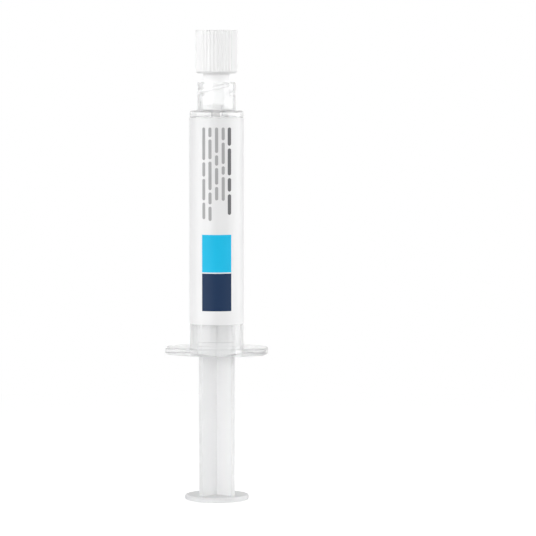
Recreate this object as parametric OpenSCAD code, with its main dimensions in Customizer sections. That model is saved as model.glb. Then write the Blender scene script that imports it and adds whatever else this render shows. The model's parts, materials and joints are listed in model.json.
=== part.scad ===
// Single-barrel adhesive syringe with a luer-lock nozzle, a ribbed screw cap and a push plunger.
// Millimetres. The axis is Z, with the cap at the top; the syringe stands on its thumb plate at z = 0.
// The front of the label faces -Y.

/* [Barrel] */
// Outside diameter of the barrel tube
barrel_od = 13.7; // [12.5:0.1:16]
// Wall thickness of the barrel tube
barrel_wall = 0.85; // [0.7:0.05:1.1]
// Length of the barrel from its open mouth to its shoulder
barrel_len = 62.15; // [55:0.05:75]
// Thickness of the shoulder wall where it meets the tube
shoulder_t = 1.6; // [1.2:0.1:2.4]
// Rounding of the shoulder's outer corner
shoulder_round = 0.5; // [0.2:0.05:0.8]
// Rise of the cone inside the shoulder, from the bore to the nozzle's hole
front_cone_rise = 0.7; // [0.3:0.05:0.9]
// Height of the bead inside the mouth that keeps the piston in
bead_h = 0.1; // [0.05:0.01:0.14]
// Width of that bead along the axis
bead_w = 1; // [0.6:0.1:2]
// Distance from the mouth to the bead
bead_from_mouth = 2.4; // [1.5:0.1:5]
// Chamfer of the bore at the mouth
mouth_chamfer = 0.4; // [0.2:0.05:0.6]

/* [Finger flange] */
// Overall length of the flange across its two wings
flange_len = 26.3; // [23:0.1:32]
// How far the flange stands out of the tube at its narrow sides
flange_lip = 1.75; // [0.5:0.05:3]
// Width of the flange at the very end of a wing
flange_tip_w = 6.4; // [1.6:0.1:9]
// Thickness of the flange
flange_t = 1.9; // [1.4:0.1:3]
// Rounding of the flange's edge
flange_round = 0.55; // [0.2:0.05:0.6]
// Turn of the wings about the axis, away from the label's front
flange_turn = -9; // [-90:1:90]

/* [Luer lock] */
// Diameter of the nozzle at its tip
nozzle_tip_d = 3.97; // [3.9:0.01:4.1]
// Taper of the nozzle, as diameter gained per length
nozzle_taper = 0.06; // [0.05:0.005:0.07]
// Length of the nozzle above the shoulder
nozzle_len = 9.3; // [8.5:0.1:10.5]
// Diameter of the hole through the nozzle
nozzle_hole_d = 2.2; // [1.2:0.1:2.6]
// Outside diameter of the lock collar
collar_od = 9.7; // [9.3:0.1:11]
// Wall thickness of the lock collar
collar_wall = 0.8; // [0.6:0.05:1]
// Height of the lock collar above the shoulder
collar_h = 7.2; // [6:0.1:8]
// Rounding of the collar's rim
collar_round = 0.25; // [0.1:0.05:0.3]
// Fillet between the collar and the shoulder
collar_fillet = 0.6; // [0.2:0.05:0.9]

/* [Cap] */
// Diameter of the cap's head over its ribs
cap_d = 10.7; // [10.2:0.1:14]
// Height of the cap's head
cap_h = 11; // [9:0.1:14]
// Bare stem that shows between the collar and the head
cap_neck = 2.25; // [1.5:0.05:4]
// Number of grip ribs round the head
cap_ribs = 36; // [24:1:44]
// Radius of one grip rib
cap_rib_r = 0.44; // [0.3:0.02:0.5]
// How far a rib stands out of the head
cap_rib_out = 0.14; // [0.08:0.02:0.24]
// Chamfer of the head's top edge
cap_top_chamfer = 0.15; // [0.1:0.05:0.5]
// Chamfer of the head's bottom edge
cap_low_chamfer = 0.6; // [0.2:0.05:0.8]
// Wall thickness of the head's skirt, under the ribs
cap_skirt_t = 1; // [0.8:0.05:1.2]
// Thickness of the head's closed top
cap_top_t = 1.5; // [1:0.1:2.5]
// Outside diameter of the stem
stem_d = 6.6; // [6.2:0.05:6.7]
// Flare of the stem where it enters the head
stem_flare = 0.25; // [0.1:0.05:0.3]
// Gap between the stem's end and the barrel's shoulder
stem_end_gap = 1.6; // [1:0.1:2.5]
// Height of a locking lug
lug_h = 1.2; // [0.8:0.1:1.6]
// Width of a locking lug round the stem
lug_w = 2.8; // [2:0.1:4]
// Distance from the stem's end to a lug
lug_up = 0.9; // [0.2:0.1:1.4]
// Gap between a lug and the collar's inside
lug_clear = 0.15; // [0.1:0.05:0.2]
// Gap between the nozzle and the cap's socket
taper_clear = 0.03; // [0.02:0.01:0.08]
// Free space over the nozzle's tip inside the cap
tip_clear = 0.6; // [0.3:0.1:1.5]

/* [Plunger rod] */
// Length of rod that shows between the flange and the thumb plate
rod_shown = 36; // [28:0.1:45]
// Thickness of a fin
fin_t = 1.3; // [1:0.05:1.8]
// Gap between a fin's tip and the bore
fin_clear = 0.18; // [0.18:0.01:0.4]
// Rounding of a fin's outer edges
fin_edge_r = 0.12; // [0.08:0.02:0.4]
// Fillet in the valley between two fins
fin_root_r = 0.2; // [0.1:0.05:1.2]
// Turn of the fins about the axis
fin_turn = 45; // [0:1:90]
// Diameter of the thumb plate
plate_d = 16.3; // [14:0.1:22]
// Thickness of the thumb plate
plate_t = 1.3; // [1:0.05:2.5]
// Rounding of the thumb plate's edge
plate_round = 0.4; // [0.2:0.05:0.45]
// Depth of the thumb rest sunk into the plate's outer face
thumb_depth = 0.3; // [0.15:0.05:0.45]
// Width of the flat rim round the thumb rest
thumb_rim = 2; // [1.2:0.1:3]
// Number of grip rings in the thumb rest
thumb_rings = 2; // [1:1:3]
// Thickness of the disc that pushes the piston
push_disc_t = 1.2; // [0.8:0.1:2]
// Gap between the push disc's edge and the bore
push_disc_clear = 0.6; // [0.3:0.05:1]
// Diameter of the snap head that holds the piston
snap_d = 6; // [5.4:0.1:6.6]
// Height of the snap head
snap_h = 1.8; // [1.4:0.1:2.4]
// Diameter of the neck under the snap head
snap_neck_d = 4.2; // [3.6:0.1:4.6]
// Length of that neck
snap_neck_len = 1.5; // [1.2:0.1:2.2]

/* [Piston] */
// Length of the piston at the bore
piston_len = 8; // [7:0.1:11]
// Gap between the piston's sealing ribs and the bore
seal_clear = 0.04; // [0.02:0.01:0.08]
// Width of a sealing rib along the axis
seal_w = 1.6; // [1.2:0.1:2.2]
// Depth of the waist between the sealing ribs
waist_depth = 0.55; // [0.3:0.05:0.8]
// Running gap between the snap head and the piston
snap_clear = 0.08; // [0.05:0.01:0.12]

/* [Contents] */
// Volume of adhesive in the barrel, in millilitres
fill_ml = 2.5; // [1.5:0.1:3]
// Gap between the adhesive and the parts that hold it
fill_clear = 0.03; // [0.02:0.01:0.06]

/* [Label] */
// Thickness of the label film
label_t = 0.1; // [0.06:0.01:0.2]
// Thickness of the glue under the label
label_glue = 0.02; // [0.01:0.01:0.05]
// Bare barrel between the shoulder and the label
label_below_shoulder = 1.75; // [1:0.05:6]
// Bare barrel between the label and the flange
label_above_flange = 6.05; // [2:0.05:12]
// Width of the bare strip left open at the back of the label
label_strip = 3; // [1:0.1:8]

/* [Hidden] */
$fn = 96;

// Overlap that makes unions and cuts clean
eps = 0.01;

// Radii that the pieces share
barrel_r = barrel_od / 2;
bore_r = barrel_r - barrel_wall;
nozzle_hole_r = nozzle_hole_d / 2;
nozzle_tip_r = nozzle_tip_d / 2;
collar_r = collar_od / 2;
collar_in_r = collar_r - collar_wall;
stem_r = stem_d / 2;
fin_r = bore_r - fin_clear;
plate_r = plate_d / 2;

// Heights along the axis, from the thumb plate up
mouth_z = plate_t + rod_shown;
flange_top_z = mouth_z + flange_t;
shoulder_z = mouth_z + barrel_len;
front_z = shoulder_z - shoulder_t;
front_apex_z = front_z + front_cone_rise;
collar_top_z = shoulder_z + collar_h;
nozzle_tip_z = shoulder_z + nozzle_len;
head_z = collar_top_z + cap_neck;
cap_top_z = head_z + cap_h;
stem_end_z = shoulder_z + stem_end_gap;

// The charge is a cylinder of the filled volume in front of the piston
fill_len = fill_ml * 1000 / (PI * pow(bore_r, 2));
piston_front_z = front_z - fill_len;
piston_back_z = piston_front_z - piston_len;

// Half the nozzle's diameter at a height
function nozzle_r_at(z) = nozzle_tip_r + nozzle_taper / 2 * (nozzle_tip_z - z);

// Shapes that several pieces use

// A closed profile turned about the axis
module turned() {
    rotate_extrude() children();
}

// A rectangle in the turning plane, from radius r0 to r1 and height z0 to z1
module band(r0, r1, z0, z1) {
    translate([r0, z0]) square([r1 - r0, z1 - z0]);
}

// A rectangle in the turning plane whose outer corners are rounded
module round_band(r0, r1, z0, z1, corner) {
    band(r0, r1 - corner, z0, z1);
    band(r0, r1, z0 + corner, z1 - corner);
    for (z = [z0 + corner, z1 - corner])
        translate([r1 - corner, z]) circle(corner);
}

// A straight bar with a rounded outline, lying along X and centred
module round_bar(length, width, corner) {
    square([length - 2 * corner, width], center = true);
    square([length, width - 2 * corner], center = true);
    for (x = [-1, 1], y = [-1, 1])
        translate([x * (length / 2 - corner), y * (width / 2 - corner)]) circle(corner);
}

// Barrel: tube, shoulder, nozzle, lock collar and finger flange in one moulding

flange_half_len = flange_len / 2;
flange_half_w = barrel_r + flange_lip;
// Radius of the long arcs that run from the flange's middle to its tips
flange_drop = flange_half_w - flange_tip_w / 2;
flange_side_r = (pow(flange_half_len, 2) + pow(flange_drop, 2)) / (2 * flange_drop);

module flange_disc(r) {
    turned() round_band(0, r, mouth_z, flange_top_z, flange_round);
}

// What three discs share: two large ones set apart make the long arcs, and one trims the tips
module finger_flange() {
    rotate([0, 0, flange_turn]) intersection() {
        flange_disc(flange_half_len);
        translate([0, flange_side_r - flange_half_w, 0]) flange_disc(flange_side_r);
        translate([0, flange_half_w - flange_side_r, 0]) flange_disc(flange_side_r);
    }
}

// Fillet in the corner between the shoulder and the collar
module collar_fillet_profile() {
    difference() {
        band(collar_r - eps, collar_r + collar_fillet, shoulder_z - eps, shoulder_z + collar_fillet);
        translate([collar_r + collar_fillet, shoulder_z + collar_fillet]) circle(collar_fillet);
    }
}

module nozzle_profile() {
    polygon([
        [0, shoulder_z - eps],
        [nozzle_r_at(shoulder_z), shoulder_z - eps],
        [nozzle_tip_r, nozzle_tip_z],
        [0, nozzle_tip_z]
    ]);
}

module barrel_outside_profile() {
    band(0, barrel_r - shoulder_round, mouth_z, shoulder_z);
    band(0, barrel_r, mouth_z, shoulder_z - shoulder_round);
    translate([barrel_r - shoulder_round, shoulder_z - shoulder_round]) circle(shoulder_round);
    difference() {
        round_band(0, collar_r, shoulder_z - collar_round, collar_top_z, collar_round);
        band(-eps, collar_in_r, shoulder_z, collar_top_z + eps);
    }
    collar_fillet_profile();
    nozzle_profile();
}

module barrel_bore_profile() {
    bead_z = mouth_z + bead_from_mouth;
    polygon([
        [0, mouth_z - eps],
        [bore_r + mouth_chamfer + eps, mouth_z - eps],
        [bore_r, mouth_z + mouth_chamfer],
        [bore_r, bead_z - bead_h],
        [bore_r - bead_h, bead_z],
        [bore_r - bead_h, bead_z + bead_w],
        [bore_r, bead_z + bead_w + bead_h],
        [bore_r, front_z],
        [nozzle_hole_r, front_apex_z],
        [nozzle_hole_r, nozzle_tip_z + eps],
        [0, nozzle_tip_z + eps]
    ]);
}

module barrel() {
    color("whitesmoke", 0.6) difference() {
        union() {
            turned() barrel_outside_profile();
            finger_flange();
        }
        turned() barrel_bore_profile();
    }
}

// Label: a printed film wrapped round the barrel, with a bare strip left at the back

module label() {
    inner_r = barrel_r + label_glue;
    low_z = flange_top_z + label_above_flange;
    high_z = shoulder_z - label_below_shoulder;
    color("white") difference() {
        turned() band(inner_r, inner_r + label_t, low_z, high_z);
        translate([-label_strip / 2, 0, low_z - eps])
            cube([label_strip, barrel_od, high_z - low_z + 2 * eps]);
    }
}

// Cap: ribbed hollow head and a stem with a tapered socket and two locking lugs

module cap_head_outline() {
    circle(cap_d / 2 - cap_rib_out);
    for (i = [0 : cap_ribs - 1])
        rotate(i * 360 / cap_ribs)
            translate([cap_d / 2 - cap_rib_r, 0]) circle(cap_rib_r, $fn = 32);
}

// The head's turned envelope, with its two edges chamfered
module cap_envelope_profile() {
    r = cap_d / 2;
    polygon([
        [0, head_z],
        [r - cap_low_chamfer, head_z],
        [r + eps, head_z + cap_low_chamfer + eps],
        [r + eps, cap_top_z - cap_top_chamfer - eps],
        [r - cap_top_chamfer, cap_top_z],
        [0, cap_top_z]
    ]);
}

module cap_stem_profile() {
    polygon([
        [0, stem_end_z],
        [stem_r - stem_flare, stem_end_z],
        [stem_r, stem_end_z + stem_flare],
        [stem_r, head_z - stem_flare],
        [stem_r + stem_flare, head_z],
        [stem_r + stem_flare, cap_top_z - cap_top_t],
        [0, cap_top_z - cap_top_t]
    ]);
}

module cap_socket_profile() {
    socket_top_z = nozzle_tip_z + tip_clear;
    polygon([
        [0, stem_end_z - eps],
        [nozzle_r_at(stem_end_z - eps) + taper_clear, stem_end_z - eps],
        [nozzle_r_at(socket_top_z) + taper_clear, socket_top_z],
        [0, socket_top_z]
    ]);
}

// The two lugs that turn into the collar's thread
module cap_lugs() {
    lug_r = collar_in_r - lug_clear;
    intersection() {
        translate([0, 0, stem_end_z + lug_up]) cylinder(r = lug_r, h = lug_h);
        translate([-lug_r - eps, -lug_w / 2, stem_end_z + lug_up])
            cube([2 * (lug_r + eps), lug_w, lug_h]);
    }
}

module cap() {
    skirt_in_r = cap_d / 2 - cap_rib_out - cap_skirt_t;
    color("white") difference() {
        union() {
            difference() {
                intersection() {
                    translate([0, 0, head_z]) linear_extrude(cap_h) cap_head_outline();
                    turned() cap_envelope_profile();
                }
                turned() band(0, skirt_in_r, head_z - eps, cap_top_z - cap_top_t);
            }
            turned() cap_stem_profile();
            cap_lugs();
        }
        turned() cap_socket_profile();
    }
}

// Plunger rod: thumb plate, four fins, push disc and snap head in one moulding

module fins_outline() {
    for (turn = [0, 90])
        rotate(turn) round_bar(2 * fin_r, fin_t, fin_edge_r);
    fillet_at = fin_t / 2 + fin_root_r;
    difference() {
        square(2 * fillet_at, center = true);
        for (x = [-1, 1], y = [-1, 1])
            translate([x * fillet_at, y * fillet_at]) circle(fin_root_r);
    }
}

module thumb_rest_profile() {
    rest_r = plate_r - thumb_rim;
    // Rings and the gaps between them share the rest evenly
    step = rest_r / (2 * thumb_rings + 1);
    for (i = [0 : thumb_rings])
        band(2 * i * step, (2 * i + 1) * step, -eps, thumb_depth);
    for (i = [0 : thumb_rings - 1])
        band((2 * i + 1) * step - eps, (2 * i + 2) * step + eps, -eps, thumb_depth / 2);
}

module thumb_plate() {
    difference() {
        turned() round_band(0, plate_r, 0, plate_t, plate_round);
        turned() thumb_rest_profile();
    }
}

push_disc_top_z = piston_back_z - snap_clear;
push_disc_z = push_disc_top_z - push_disc_t;
snap_neck_top_z = push_disc_top_z + snap_neck_len;
snap_top_z = snap_neck_top_z + snap_h;
snap_chamfer = (snap_d - snap_neck_d) / 2;

module rod_end_profile() {
    round_band(0, bore_r - push_disc_clear, push_disc_z, push_disc_top_z, push_disc_t / 4);
    polygon([
        [0, push_disc_z],
        [snap_neck_d / 2, push_disc_z],
        [snap_neck_d / 2, snap_neck_top_z],
        [snap_d / 2, snap_neck_top_z],
        [snap_d / 2, snap_top_z - snap_chamfer],
        [snap_neck_d / 2, snap_top_z],
        [0, snap_top_z]
    ]);
}

module plunger_rod() {
    color("gainsboro") {
        thumb_plate();
        translate([0, 0, plate_t - eps])
            linear_extrude(push_disc_z - plate_t + 2 * eps) rotate(fin_turn) fins_outline();
        turned() rod_end_profile();
    }
}

// Piston: a soft stopper with two sealing ribs, snapped over the rod's head

module piston_outside_profile() {
    seal_r = bore_r - seal_clear;
    waist_r = seal_r - waist_depth;
    nose_z = piston_front_z + front_cone_rise;
    polygon([
        [0, piston_back_z],
        [waist_r, piston_back_z],
        [seal_r, piston_back_z + waist_depth],
        [seal_r, piston_back_z + waist_depth + seal_w],
        [waist_r, piston_back_z + 2 * waist_depth + seal_w],
        [waist_r, piston_front_z - waist_depth - seal_w],
        [seal_r, piston_front_z - seal_w],
        [seal_r, piston_front_z],
        [nozzle_hole_r, nose_z],
        [0, nose_z]
    ]);
}

// Room for the rod's neck and snap head
module piston_socket_profile() {
    neck_r = snap_neck_d / 2 + snap_clear;
    head_r = snap_d / 2 + snap_clear;
    polygon([
        [0, piston_back_z - eps],
        [neck_r, piston_back_z - eps],
        [neck_r, snap_neck_top_z - snap_clear],
        [head_r, snap_neck_top_z - snap_clear],
        [head_r, snap_top_z - snap_chamfer + snap_clear],
        [neck_r, snap_top_z + snap_clear],
        [0, snap_top_z + snap_clear]
    ]);
}

module piston() {
    color("lightgray") turned() difference() {
        piston_outside_profile();
        piston_socket_profile();
    }
}

// Adhesive: the charge in front of the piston and the column in the nozzle's hole

module adhesive() {
    charge_r = bore_r - fill_clear;
    column_r = nozzle_hole_r - fill_clear;
    color("ivory") turned() polygon([
        [0, piston_front_z + front_cone_rise + fill_clear],
        [nozzle_hole_r, piston_front_z + front_cone_rise + fill_clear],
        [charge_r, piston_front_z + fill_clear],
        [charge_r, front_z - fill_clear],
        [column_r, front_apex_z - fill_clear],
        [column_r, nozzle_tip_z],
        [0, nozzle_tip_z]
    ]);
}

barrel();
label();
cap();
plunger_rod();
piston();
adhesive();
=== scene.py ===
"""Looks of the adhesive syringe: surfaces, label print, collar thread, paste, light and camera."""

import json
import math

import bmesh
import bpy
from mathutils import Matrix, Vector


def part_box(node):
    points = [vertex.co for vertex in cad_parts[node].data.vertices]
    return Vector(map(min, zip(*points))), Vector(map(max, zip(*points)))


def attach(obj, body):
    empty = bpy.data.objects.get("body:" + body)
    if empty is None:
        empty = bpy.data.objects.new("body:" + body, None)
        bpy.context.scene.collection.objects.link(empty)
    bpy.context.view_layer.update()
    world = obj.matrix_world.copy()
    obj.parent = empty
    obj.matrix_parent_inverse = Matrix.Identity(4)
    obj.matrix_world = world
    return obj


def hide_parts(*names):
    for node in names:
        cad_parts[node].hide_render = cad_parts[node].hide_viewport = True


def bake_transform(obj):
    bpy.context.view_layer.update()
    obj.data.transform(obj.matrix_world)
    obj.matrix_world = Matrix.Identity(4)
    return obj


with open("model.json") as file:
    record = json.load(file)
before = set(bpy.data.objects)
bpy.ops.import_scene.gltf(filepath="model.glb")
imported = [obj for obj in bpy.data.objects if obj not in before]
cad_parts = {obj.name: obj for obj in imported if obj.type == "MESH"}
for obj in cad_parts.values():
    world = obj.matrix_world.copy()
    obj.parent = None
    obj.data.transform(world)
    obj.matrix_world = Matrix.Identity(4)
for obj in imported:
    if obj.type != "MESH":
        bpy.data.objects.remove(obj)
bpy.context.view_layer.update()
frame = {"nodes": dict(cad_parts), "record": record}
nodes = frame["nodes"]
mounts = {mount["name"]: mount for mount in frame["record"]["mounts"]}

MM = 0.001


# Sizes read from the frame

# A point of the barrel beyond TUBE_SHARE of the tube's radius is the tube's. Above the shoulder, a point
# beyond COLLAR_SHARE of it is the lock collar's, and a nearer one is the nozzle's.
TUBE_SHARE = 0.85
COLLAR_SHARE = 0.5
OVER_SHOULDER = 1.5 * MM
RIM_DEPTH = 0.5 * MM


def points_of(node):
    """The CAD node's points, in metres."""
    return [vertex.co for vertex in nodes[node].data.vertices]


def from_axis(point):
    """A point's distance from the syringe's axis."""
    return math.hypot(point.x, point.y)


label_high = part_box("label")[1][2]
label_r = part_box("label")[1][0]
barrel_r = mounts["barrel_body"]["dims"]["r_mm"] * MM
nozzle_tip_z = mounts["luer_nozzle"]["pos_m"][2]
stem_end_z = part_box("cap")[0][2]
cap_top_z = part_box("cap")[1][2]
shoulder_z = max(p.z for p in points_of("barrel") if from_axis(p) > TUBE_SHARE * barrel_r)
collar_points = [p for p in points_of("barrel")
                 if p.z > shoulder_z + OVER_SHOULDER and from_axis(p) > COLLAR_SHARE * barrel_r]
collar_top_z = max(p.z for p in collar_points)
collar_in_r = min(from_axis(p) for p in collar_points if p.z >= collar_top_z - RIM_DEPTH)


# Meshes

def mesh_object(name, points, faces, smooth=True):
    """A new mesh object with outward normals."""
    mesh = bpy.data.meshes.new(name)
    mesh.from_pydata(points, [], faces)
    shape = bmesh.new()
    shape.from_mesh(mesh)
    bmesh.ops.recalc_face_normals(shape, faces=shape.faces)
    shape.to_mesh(mesh)
    shape.free()
    for face in mesh.polygons:
        face.use_smooth = smooth
    piece = bpy.data.objects.new(name, mesh)
    bpy.context.collection.objects.link(piece)
    return piece


def turned(name, profile, steps=96):
    """A closed mesh turned about Z.

    The profile is a list of (radius, height) points that starts and ends on the axis.
    """
    points = [(0, 0, profile[0][1])]
    ring = profile[1:-1]
    for r, z in ring:
        for i in range(steps):
            turn = 2 * math.pi * i / steps
            points.append((r * math.cos(turn), r * math.sin(turn), z))
    points.append((0, 0, profile[-1][1]))
    last = len(points) - 1
    top = last - steps
    faces = []
    for i in range(steps):
        j = (i + 1) % steps
        faces.append((0, 1 + j, 1 + i))
        for k in range(len(ring) - 1):
            low = 1 + k * steps
            high = low + steps
            faces.append((low + i, low + j, high + j, high + i))
        faces.append((top + i, top + j, last))
    return mesh_object(name, points, faces)


def plate_rows(low, high, corner, corner_steps):
    """A plate's rows from its low to its high end: (height, how far the sides draw in there)."""
    end = [(0.0, 0.0)]
    if corner:
        turns = [math.pi / 2 * i / corner_steps for i in reversed(range(corner_steps + 1))]
        end = [(corner * (1 - math.sin(turn)), corner * (1 - math.cos(turn))) for turn in turns]
    low_rows = [(low + rise, inset) for rise, inset in end]
    high_rows = [(high - rise, inset) for rise, inset in reversed(end)]
    return low_rows + high_rows


def wrapped_plates(name, plates, inner_r, thickness, step=0.25 * MM, corner_steps=5):
    """Thin plates bent round the axis, as one mesh.

    A plate is (left, right, low, high, corner): arc lengths, heights and the radius of its round corners.
    """
    points = []
    faces = []
    for left, right, low, high, corner in plates:
        across = max(3, math.ceil((right - left) / step) + 1)
        rows = plate_rows(low, high, corner, corner_steps)
        start = len(points)
        for z, inset in rows:
            for i in range(across):
                turn = (left + inset + (right - left - 2 * inset) * i / (across - 1)) / inner_r
                for r in (inner_r, inner_r + thickness):
                    points.append((r * math.sin(turn), -r * math.cos(turn), z))

        def at(row, i, outer):
            return start + (row * across + i) * 2 + outer

        last_row = len(rows) - 1
        for row in range(last_row):
            for i in range(across - 1):
                for outer in (0, 1):
                    faces.append((at(row, i, outer), at(row, i + 1, outer),
                                  at(row + 1, i + 1, outer), at(row + 1, i, outer)))
            for i in (0, across - 1):
                faces.append((at(row, i, 0), at(row, i, 1), at(row + 1, i, 1), at(row + 1, i, 0)))
        for row in (0, last_row):
            for i in range(across - 1):
                faces.append((at(row, i, 0), at(row, i, 1), at(row, i + 1, 1), at(row, i + 1, 0)))
    return mesh_object(name, points, faces, smooth=False)


def helix_ridges(name, root_r, crest_r, root_w, crest_w, starts, lead, low_turn, high_turn, start_z,
                 end_share=0.1, run_in=8, steps=72):
    """Thread ridges inside a collar, one for each start.

    At its two ends a ridge has end_share of its height, and from there it grows by run_in times the share
    of its length that is passed. Turn 0 lies at start_z.
    """
    points = []
    faces = []
    for start in range(starts):
        base = len(points)
        for i in range(steps + 1):
            share = i / steps
            turn = low_turn + (high_turn - low_turn) * share
            z = start_z + lead * turn / (2 * math.pi)
            rise = min(1, end_share + share * run_in, end_share + (1 - share) * run_in)
            around = turn + 2 * math.pi * start / starts
            for r, half in ((root_r, root_w / 2), (root_r + (crest_r - root_r) * rise, crest_w / 2)):
                for side in (-1, 1):
                    points.append((r * math.cos(around), r * math.sin(around), z + side * half))
        # A step has four points, two at the root and two at the crest
        for i in range(steps):
            a = base + 4 * i
            b = a + 4
            faces += [(a, b, b + 1, a + 1), (a + 2, a + 3, b + 3, b + 2),
                      (a, a + 2, b + 2, b), (a + 1, b + 1, b + 3, a + 3)]
        end = base + 4 * steps
        faces += [(base, base + 1, base + 3, base + 2), (end, end + 2, end + 3, end + 1)]
    return mesh_object(name, points, faces)


# Materials

# The gloss varies this many times finer than the colour
GLOSS_FINER = 4
GRAIN_DETAIL = 2
GRAIN_STRENGTH = 0.4


def new_material(name):
    """A new node material, its tree and its shader."""
    material = bpy.data.materials.new(name)
    material.use_nodes = True
    return material, material.node_tree, material.node_tree.nodes["Principled BSDF"]


def noise(tree, scale, detail=3):
    """Noise over the object's own coordinates, at so many waves per metre."""
    place = tree.nodes.new("ShaderNodeTexCoord")
    texture = tree.nodes.new("ShaderNodeTexNoise")
    texture.inputs["Scale"].default_value = scale
    texture.inputs["Detail"].default_value = detail
    tree.links.new(place.outputs["Object"], texture.inputs["Vector"])
    return texture.outputs["Fac"]


def colour_mix(tree, fac):
    """The two inputs and the result of a new colour mix, from the first at 0 to the second at 1."""
    node = tree.nodes.new("ShaderNodeMix")
    node.data_type = "RGBA"
    tree.links.new(fac, node.inputs["Factor"])
    # The node has sockets of the same names for its other types, so these are picked by place
    return node.inputs[6], node.inputs[7], node.outputs[2]


def spread(tree, fac, low, high):
    """Maps a share to the range from low at 0 to high at 1, numbers or colours."""
    if isinstance(low, (int, float)):
        node = tree.nodes.new("ShaderNodeMapRange")
        node.inputs["To Min"].default_value = low
        node.inputs["To Max"].default_value = high
        tree.links.new(fac, node.inputs["Value"])
        return node.outputs["Result"]
    first, second, result = colour_mix(tree, fac)
    first.default_value = (*low, 1)
    second.default_value = (*high, 1)
    return result


def bump(tree, shader, fac, distance, strength):
    """Fine relief on a shader's normal."""
    node = tree.nodes.new("ShaderNodeBump")
    node.inputs["Distance"].default_value = distance
    node.inputs["Strength"].default_value = strength
    tree.links.new(fac, node.inputs["Height"])
    tree.links.new(node.outputs["Normal"], shader.inputs["Normal"])


def moulded(name, dark, light, rough, cloud=180, grain=4000, grain_depth=0.01 * MM, **sockets):
    """A material with cloudy colour, uneven gloss and a fine grain. rough is the range of the roughness."""
    material, tree, shader = new_material(name)
    tree.links.new(spread(tree, noise(tree, cloud), dark, light), shader.inputs["Base Color"])
    tree.links.new(spread(tree, noise(tree, GLOSS_FINER * cloud), *rough), shader.inputs["Roughness"])
    if grain_depth:
        bump(tree, shader, noise(tree, grain, GRAIN_DETAIL), grain_depth, GRAIN_STRENGTH)
    shader.inputs["Subsurface Radius"].default_value = (1, 1, 1)
    for socket, value in sockets.items():
        shader.inputs[socket.replace("_", " ")].default_value = value
    return material


def ink(name, dark, light):
    """Printing ink, with little shine."""
    return moulded(name, dark, light, (0.40, 0.46), IOR=1.5, Specular_IOR_Level=0.15)


frosted = moulded("frosted_natural", (0.91, 0.913, 0.915), (0.925, 0.928, 0.93), (0.15, 0.21),
                  grain_depth=0, IOR=1.3, Transmission_Weight=0.77, Coat_Weight=0.45, Coat_Roughness=0.05)
# The collar thread is the barrel's own plastic. This paler, opaque copy of it is painted light, so the ridges
# show as pale bands instead of the dark bands the clear plastic gives them.
thread_painted_light = moulded("thread_plastic_painted_light", (0.95, 0.952, 0.954), (0.97, 0.972, 0.974), (0.34, 0.42), IOR=1.3)
natural = moulded("natural_rod", (0.895, 0.897, 0.899), (0.915, 0.917, 0.919), (0.50, 0.56),
                  IOR=1.49, Transmission_Weight=0.68)
white_cap = moulded("white_cap", (0.87, 0.87, 0.87), (0.89, 0.89, 0.89), (0.34, 0.46), IOR=1.49,
                    Specular_IOR_Level=0.15, Subsurface_Weight=0.4, Subsurface_Scale=0.2 * MM)
film = moulded("label_film", (0.755, 0.755, 0.758), (0.775, 0.775, 0.777), (0.30, 0.38), cloud=90,
               grain=2500, grain_depth=0.004 * MM, IOR=1.5, Specular_IOR_Level=0.5)
cyan_ink = ink("cyan_ink", (0.009, 0.47, 0.74), (0.012, 0.50, 0.785))
navy_ink = ink("navy_ink", (0.008, 0.026, 0.073), (0.010, 0.032, 0.084))
dark_ink = ink("dark_grey_ink", (0.138, 0.138, 0.143), (0.172, 0.172, 0.178))
grey_ink = ink("grey_ink", (0.38, 0.38, 0.385), (0.425, 0.425, 0.43))
elastomer = moulded("pale_elastomer", (0.78, 0.79, 0.80), (0.82, 0.83, 0.84), (0.42, 0.55), IOR=1.5,
                    Subsurface_Weight=0.2, Subsurface_Scale=0.6 * MM)
paste = moulded("milky_paste", (0.92, 0.915, 0.89), (0.95, 0.945, 0.925), (0.12, 0.2), cloud=400, IOR=1.45,
                Subsurface_Weight=0.4, Subsurface_Scale=1.0 * MM)


def paint(piece, material):
    """One material all over a piece."""
    piece.data.materials.clear()
    piece.data.materials.append(material)


for node, material in {"barrel": frosted, "label": film, "cap": white_cap, "plunger_rod": natural,
                       "piston": elastomer}.items():
    paint(nodes[node], material)


# Print on the label: two bare colour panels and plain bars in the places of the words

PRINT_LIFT = 0.006 * MM
PRINT_T = 0.01 * MM
PANEL_HALF_W = 3.9 * MM
PANEL_H = 9.55 * MM
PANEL_GAP = 0.3 * MM
PANELS_DOWN = 29.5 * MM
LINES_DOWN = 2.35 * MM
LINE_PITCH = 1.69 * MM
MIDDLE_LINE = 2
# Corner radius of a bar as a share of its height, so that its ends are almost half round
BAR_ROUND = 0.48
HEAVY_H = 0.95 * MM
HEAVY_GAP = 0.7 * MM
LIGHT_H = 0.8 * MM
LIGHT_GAP = 0.6 * MM
HEAVY_WORDS_MM = (4.6, 6.8, 3.4, 5.2)
LIGHT_WORDS_MM = ((3.2, 5.4, 2.1, 6.0), (6.4, 2.6, 4.2, 3.4), (2.4, 5.0, 7.2, 3.0, 3.6), (8.2, 3.6, 5.4, 4.2))


def print_piece(name, plates, material):
    """Ink that lies on the label."""
    piece = wrapped_plates(name, plates, label_r + PRINT_LIFT, PRINT_T)
    paint(piece, material)
    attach(piece, "barrel")


def panel(name, high, material):
    """A bare colour panel below a height."""
    print_piece(name, [(-PANEL_HALF_W, PANEL_HALF_W, high - PANEL_H, high, 0)], material)


def word_bars(line, words, height, gap):
    """Bars for the words of one line, that runs down the label. Lines count from the right."""
    middle = (MIDDLE_LINE - line) * LINE_PITCH
    low = label_high - LINES_DOWN
    bars = []
    for length in words:
        bars.append((middle - height / 2, middle + height / 2, low - length * MM, low, BAR_ROUND * height))
        low -= length * MM + gap
    return bars


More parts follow.
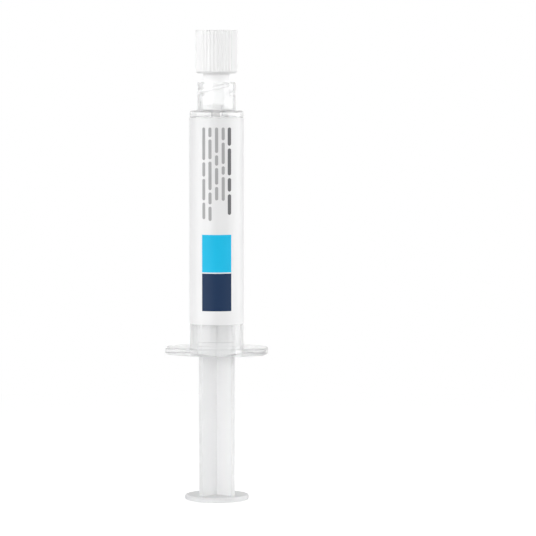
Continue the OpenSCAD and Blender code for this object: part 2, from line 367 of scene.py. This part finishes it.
cyan_high = label_high - PANELS_DOWN
panel("label_panel_cyan", cyan_high, cyan_ink)
panel("label_panel_navy", cyan_high - PANEL_H - PANEL_GAP, navy_ink)
print_piece("label_heavy_line", word_bars(0, HEAVY_WORDS_MM, HEAVY_H, HEAVY_GAP), dark_ink)
print_piece("label_light_lines", [bar for line, words in enumerate(LIGHT_WORDS_MM, start=1)
                                  for bar in word_bars(line, words, LIGHT_H, LIGHT_GAP)], grey_ink)


# Thread inside the lock collar

THREAD_STARTS = 2
THREAD_LEAD = 5.0 * MM
THREAD_H = 0.5 * MM
THREAD_SUNK = 0.05 * MM
THREAD_ROOT_W = 0.9 * MM
THREAD_CREST_W = 0.35 * MM
THREAD_OVER_STEM_END = 3.0 * MM
THREAD_FROM = math.radians(-40)
THREAD_TO = math.radians(137)

thread = helix_ridges("collar_thread", root_r=collar_in_r + THREAD_SUNK, crest_r=collar_in_r - THREAD_H,
                      root_w=THREAD_ROOT_W, crest_w=THREAD_CREST_W, starts=THREAD_STARTS, lead=THREAD_LEAD,
                      low_turn=THREAD_FROM, high_turn=THREAD_TO, start_z=stem_end_z + THREAD_OVER_STEM_END)
# Painted light: the thread takes a paler, opaque copy of the barrel's plastic.
paint(thread, thread_painted_light)
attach(thread, "barrel")


# Adhesive: the charge reaches from the piston to the shoulder, and the column stays in the nozzle

GAP = 0.03 * MM
# A point beyond this share of the bore's radius lies at its wall
WALL_SHARE = 0.98

bore_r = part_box("adhesive")[1][0]
charge_end_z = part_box("piston")[1][2] + GAP
charge_points = [p for p in points_of("adhesive") if from_axis(p) > WALL_SHARE * bore_r]
charge_low = min(p.z for p in charge_points)
charge_high = max(p.z for p in charge_points)
column_r = max(from_axis(p) for p in points_of("adhesive") if abs(p.z - nozzle_tip_z) <= GAP)
column_low = min(p.z for p in points_of("adhesive")
                 if p.z > charge_high and from_axis(p) < column_r + GAP)
charge = turned("adhesive_charge", [(0, charge_end_z), (column_r, charge_end_z), (bore_r, charge_low),
                                    (bore_r, charge_high), (column_r, column_low), (0, column_low)])
column = turned("adhesive_in_nozzle", [(0, column_low + GAP), (column_r, column_low + GAP),
                                       (column_r, nozzle_tip_z), (0, nozzle_tip_z)])
for piece in (charge, column):
    paint(piece, paste)
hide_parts("adhesive")
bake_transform(charge)
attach(column, "barrel")


# Stage, in metres

AMBIENT_FRONT = (1.0, 1.0, 1.0)
AMBIENT_BACK = (0.9, 0.9, 0.9)
AMBIENT_TOP = (0.2, 0.2, 0.2)
FLOOR_BELOW = 0.05 * MM
FLOOR_GREY = 0.8
FLOOR_ROUGH = 0.9
FLOOR_LIFT = 0.55
SOFTBOX_AWAY = 0.42
SOFTBOX_H = 0.22


def largest(tree, first, second):
    """The larger of two numbers."""
    most = tree.nodes.new("ShaderNodeMath")
    most.operation = "MAXIMUM"
    tree.links.new(first, most.inputs[0])
    tree.links.new(second, most.inputs[1])
    return most.outputs[0]


def seen_directly(tree):
    """1 for the rays that show the background: the camera's, and those sent on by gloss and clear plastic."""
    rays = tree.nodes.new("ShaderNodeLightPath")
    sent_on = largest(tree, rays.outputs["Is Glossy Ray"], rays.outputs["Is Transmission Ray"])
    return largest(tree, rays.outputs["Is Camera Ray"], sent_on)


def show_mix(tree, fac, first, second, output):
    """Sends a mix of two shaders to the surface of an output, the first at 0 and the second at 1."""
    mix = tree.nodes.new("ShaderNodeMixShader")
    tree.links.new(fac, mix.inputs["Fac"])
    tree.links.new(first.outputs[0], mix.inputs[1])
    tree.links.new(second.outputs[0], mix.inputs[2])
    tree.links.new(mix.outputs[0], tree.nodes[output].inputs["Surface"])


def backdrop_world():
    """Soft light, strongest from the front and weakest from above, and a background that shows as white."""
    world = bpy.data.worlds.new("studio")
    world.use_nodes = True
    bpy.context.scene.world = world
    tree = world.node_tree
    place = tree.nodes.new("ShaderNodeTexCoord")
    axes = tree.nodes.new("ShaderNodeSeparateXYZ")
    tree.links.new(place.outputs["Generated"], axes.inputs[0])
    behind = tree.nodes.new("ShaderNodeMapRange")
    behind.inputs["From Min"].default_value = -1
    behind.inputs["From Max"].default_value = 0
    tree.links.new(axes.outputs["Y"], behind.inputs["Value"])
    above = tree.nodes.new("ShaderNodeMapRange")
    tree.links.new(axes.outputs["Z"], above.inputs["Value"])
    level, top, ambient = colour_mix(tree, above.outputs["Result"])
    tree.links.new(spread(tree, behind.outputs["Result"], AMBIENT_FRONT, AMBIENT_BACK), level)
    top.default_value = (*AMBIENT_TOP, 1)
    light = tree.nodes["Background"]
    tree.links.new(ambient, light.inputs["Color"])
    shown = tree.nodes.new("ShaderNodeBackground")
    shown.inputs["Color"].default_value = (1, 1, 1, 1)
    show_mix(tree, seen_directly(tree), light, shown, "World Output")


def floor_disc(radius, clear_r, fade_r):
    """A pale floor that keeps the shadow near the syringe and fades to the white background."""
    bpy.ops.mesh.primitive_circle_add(vertices=128, radius=radius, fill_type="NGON")
    floor = bpy.context.object
    floor.name = "floor"
    floor.location.z = -FLOOR_BELOW
    material, tree, shader = new_material("pale_floor")
    shader.inputs["Base Color"].default_value = (FLOOR_GREY, FLOOR_GREY, FLOOR_GREY, 1)
    shader.inputs["Roughness"].default_value = FLOOR_ROUGH
    shader.inputs["Specular IOR Level"].default_value = 0
    seen = seen_directly(tree)

    # Near the syringe the floor takes light and shadow, lifted towards white
    lifted = tree.nodes.new("ShaderNodeMath")
    lifted.operation = "MULTIPLY"
    lifted.inputs[1].default_value = FLOOR_LIFT
    tree.links.new(seen, lifted.inputs[0])
    lift = tree.nodes.new("ShaderNodeEmission")
    tree.links.new(lifted.outputs[0], lift.inputs["Strength"])
    near = tree.nodes.new("ShaderNodeAddShader")
    tree.links.new(shader.outputs[0], near.inputs[0])
    tree.links.new(lift.outputs[0], near.inputs[1])

    # Far from it the floor is plain white
    far = tree.nodes.new("ShaderNodeEmission")
    tree.links.new(seen, far.inputs["Strength"])

    place = tree.nodes.new("ShaderNodeTexCoord")
    reach = tree.nodes.new("ShaderNodeVectorMath")
    reach.operation = "LENGTH"
    tree.links.new(place.outputs["Object"], reach.inputs[0])
    fade = tree.nodes.new("ShaderNodeMapRange")
    fade.interpolation_type = "SMOOTHSTEP"
    fade.inputs["From Min"].default_value = clear_r
    fade.inputs["From Max"].default_value = fade_r
    tree.links.new(reach.outputs["Value"], fade.inputs["Value"])
    show_mix(tree, fade.outputs["Result"], near, far, "Material Output")
    paint(floor, material)


def softbox(name, azimuth, width, glow, passes=()):
    """A soft lamp that stands on the floor and faces the syringe, at an azimuth in degrees from the camera.

    glow is its radiance. The nodes in passes cast no shadow in its light.
    """
    lamp = bpy.data.lights.new(name, "AREA")
    lamp.shape = "RECTANGLE"
    lamp.size = width
    lamp.size_y = SOFTBOX_H
    lamp.energy = math.pi * glow * width * SOFTBOX_H
    piece = bpy.data.objects.new(name, lamp)
    turn = math.radians(azimuth)
    piece.location = (SOFTBOX_AWAY * math.sin(turn), -SOFTBOX_AWAY * math.cos(turn), SOFTBOX_H / 2)
    piece.rotation_euler = (math.radians(90), 0, turn)
    bpy.context.collection.objects.link(piece)
    if passes:
        clear = bpy.data.collections.new(f"{name}_passes")
        for node in passes:
            clear.objects.link(nodes[node])
        for member in clear.collection_objects:
            member.light_linking.link_state = "EXCLUDE"
        piece.light_linking.blocker_collection = clear


backdrop_world()
floor_disc(radius=4.0, clear_r=0.03, fade_r=0.25)
softbox("left_softbox", azimuth=-60, width=0.58, glow=3.2)
softbox("right_softbox", azimuth=84, width=0.60, glow=3.2)
# The front lamps light the rod and the cap's stem inside the clear barrel
softbox("front_left_softbox", azimuth=-25, width=0.22, glow=1.1, passes=["barrel"])
softbox("front_right_softbox", azimuth=25, width=0.22, glow=1.1, passes=["barrel"])


# Camera, a little above the height of the cap's top

SENSOR_MM = 36.0
FRAME_PX = 536
MM_PER_PX = 0.2552
# The photo's column of the syringe's axis and its row of the cap's top
AXIS_PX = 216.7
TOP_PX = 30.6
CAMERA_AWAY = 0.87
CAMERA_OVER_TOP = 1.5 * MM

frame_w = FRAME_PX * MM_PER_PX * MM
aim = Vector(((FRAME_PX / 2 - AXIS_PX) * MM_PER_PX * MM, 0,
              cap_top_z - (FRAME_PX / 2 - TOP_PX) * MM_PER_PX * MM))
camera = bpy.data.cameras.new("camera")
camera.sensor_width = SENSOR_MM
eye = bpy.data.objects.new("camera", camera)
eye.location = (0, -CAMERA_AWAY, cap_top_z + CAMERA_OVER_TOP)
look = aim - eye.location
eye.rotation_euler = look.to_track_quat("-Z", "Y").to_euler()
camera.lens = SENSOR_MM * look.length / frame_w
bpy.context.collection.objects.link(eye)
bpy.context.scene.camera = eye
bpy.context.scene.view_settings.view_transform = "Standard"
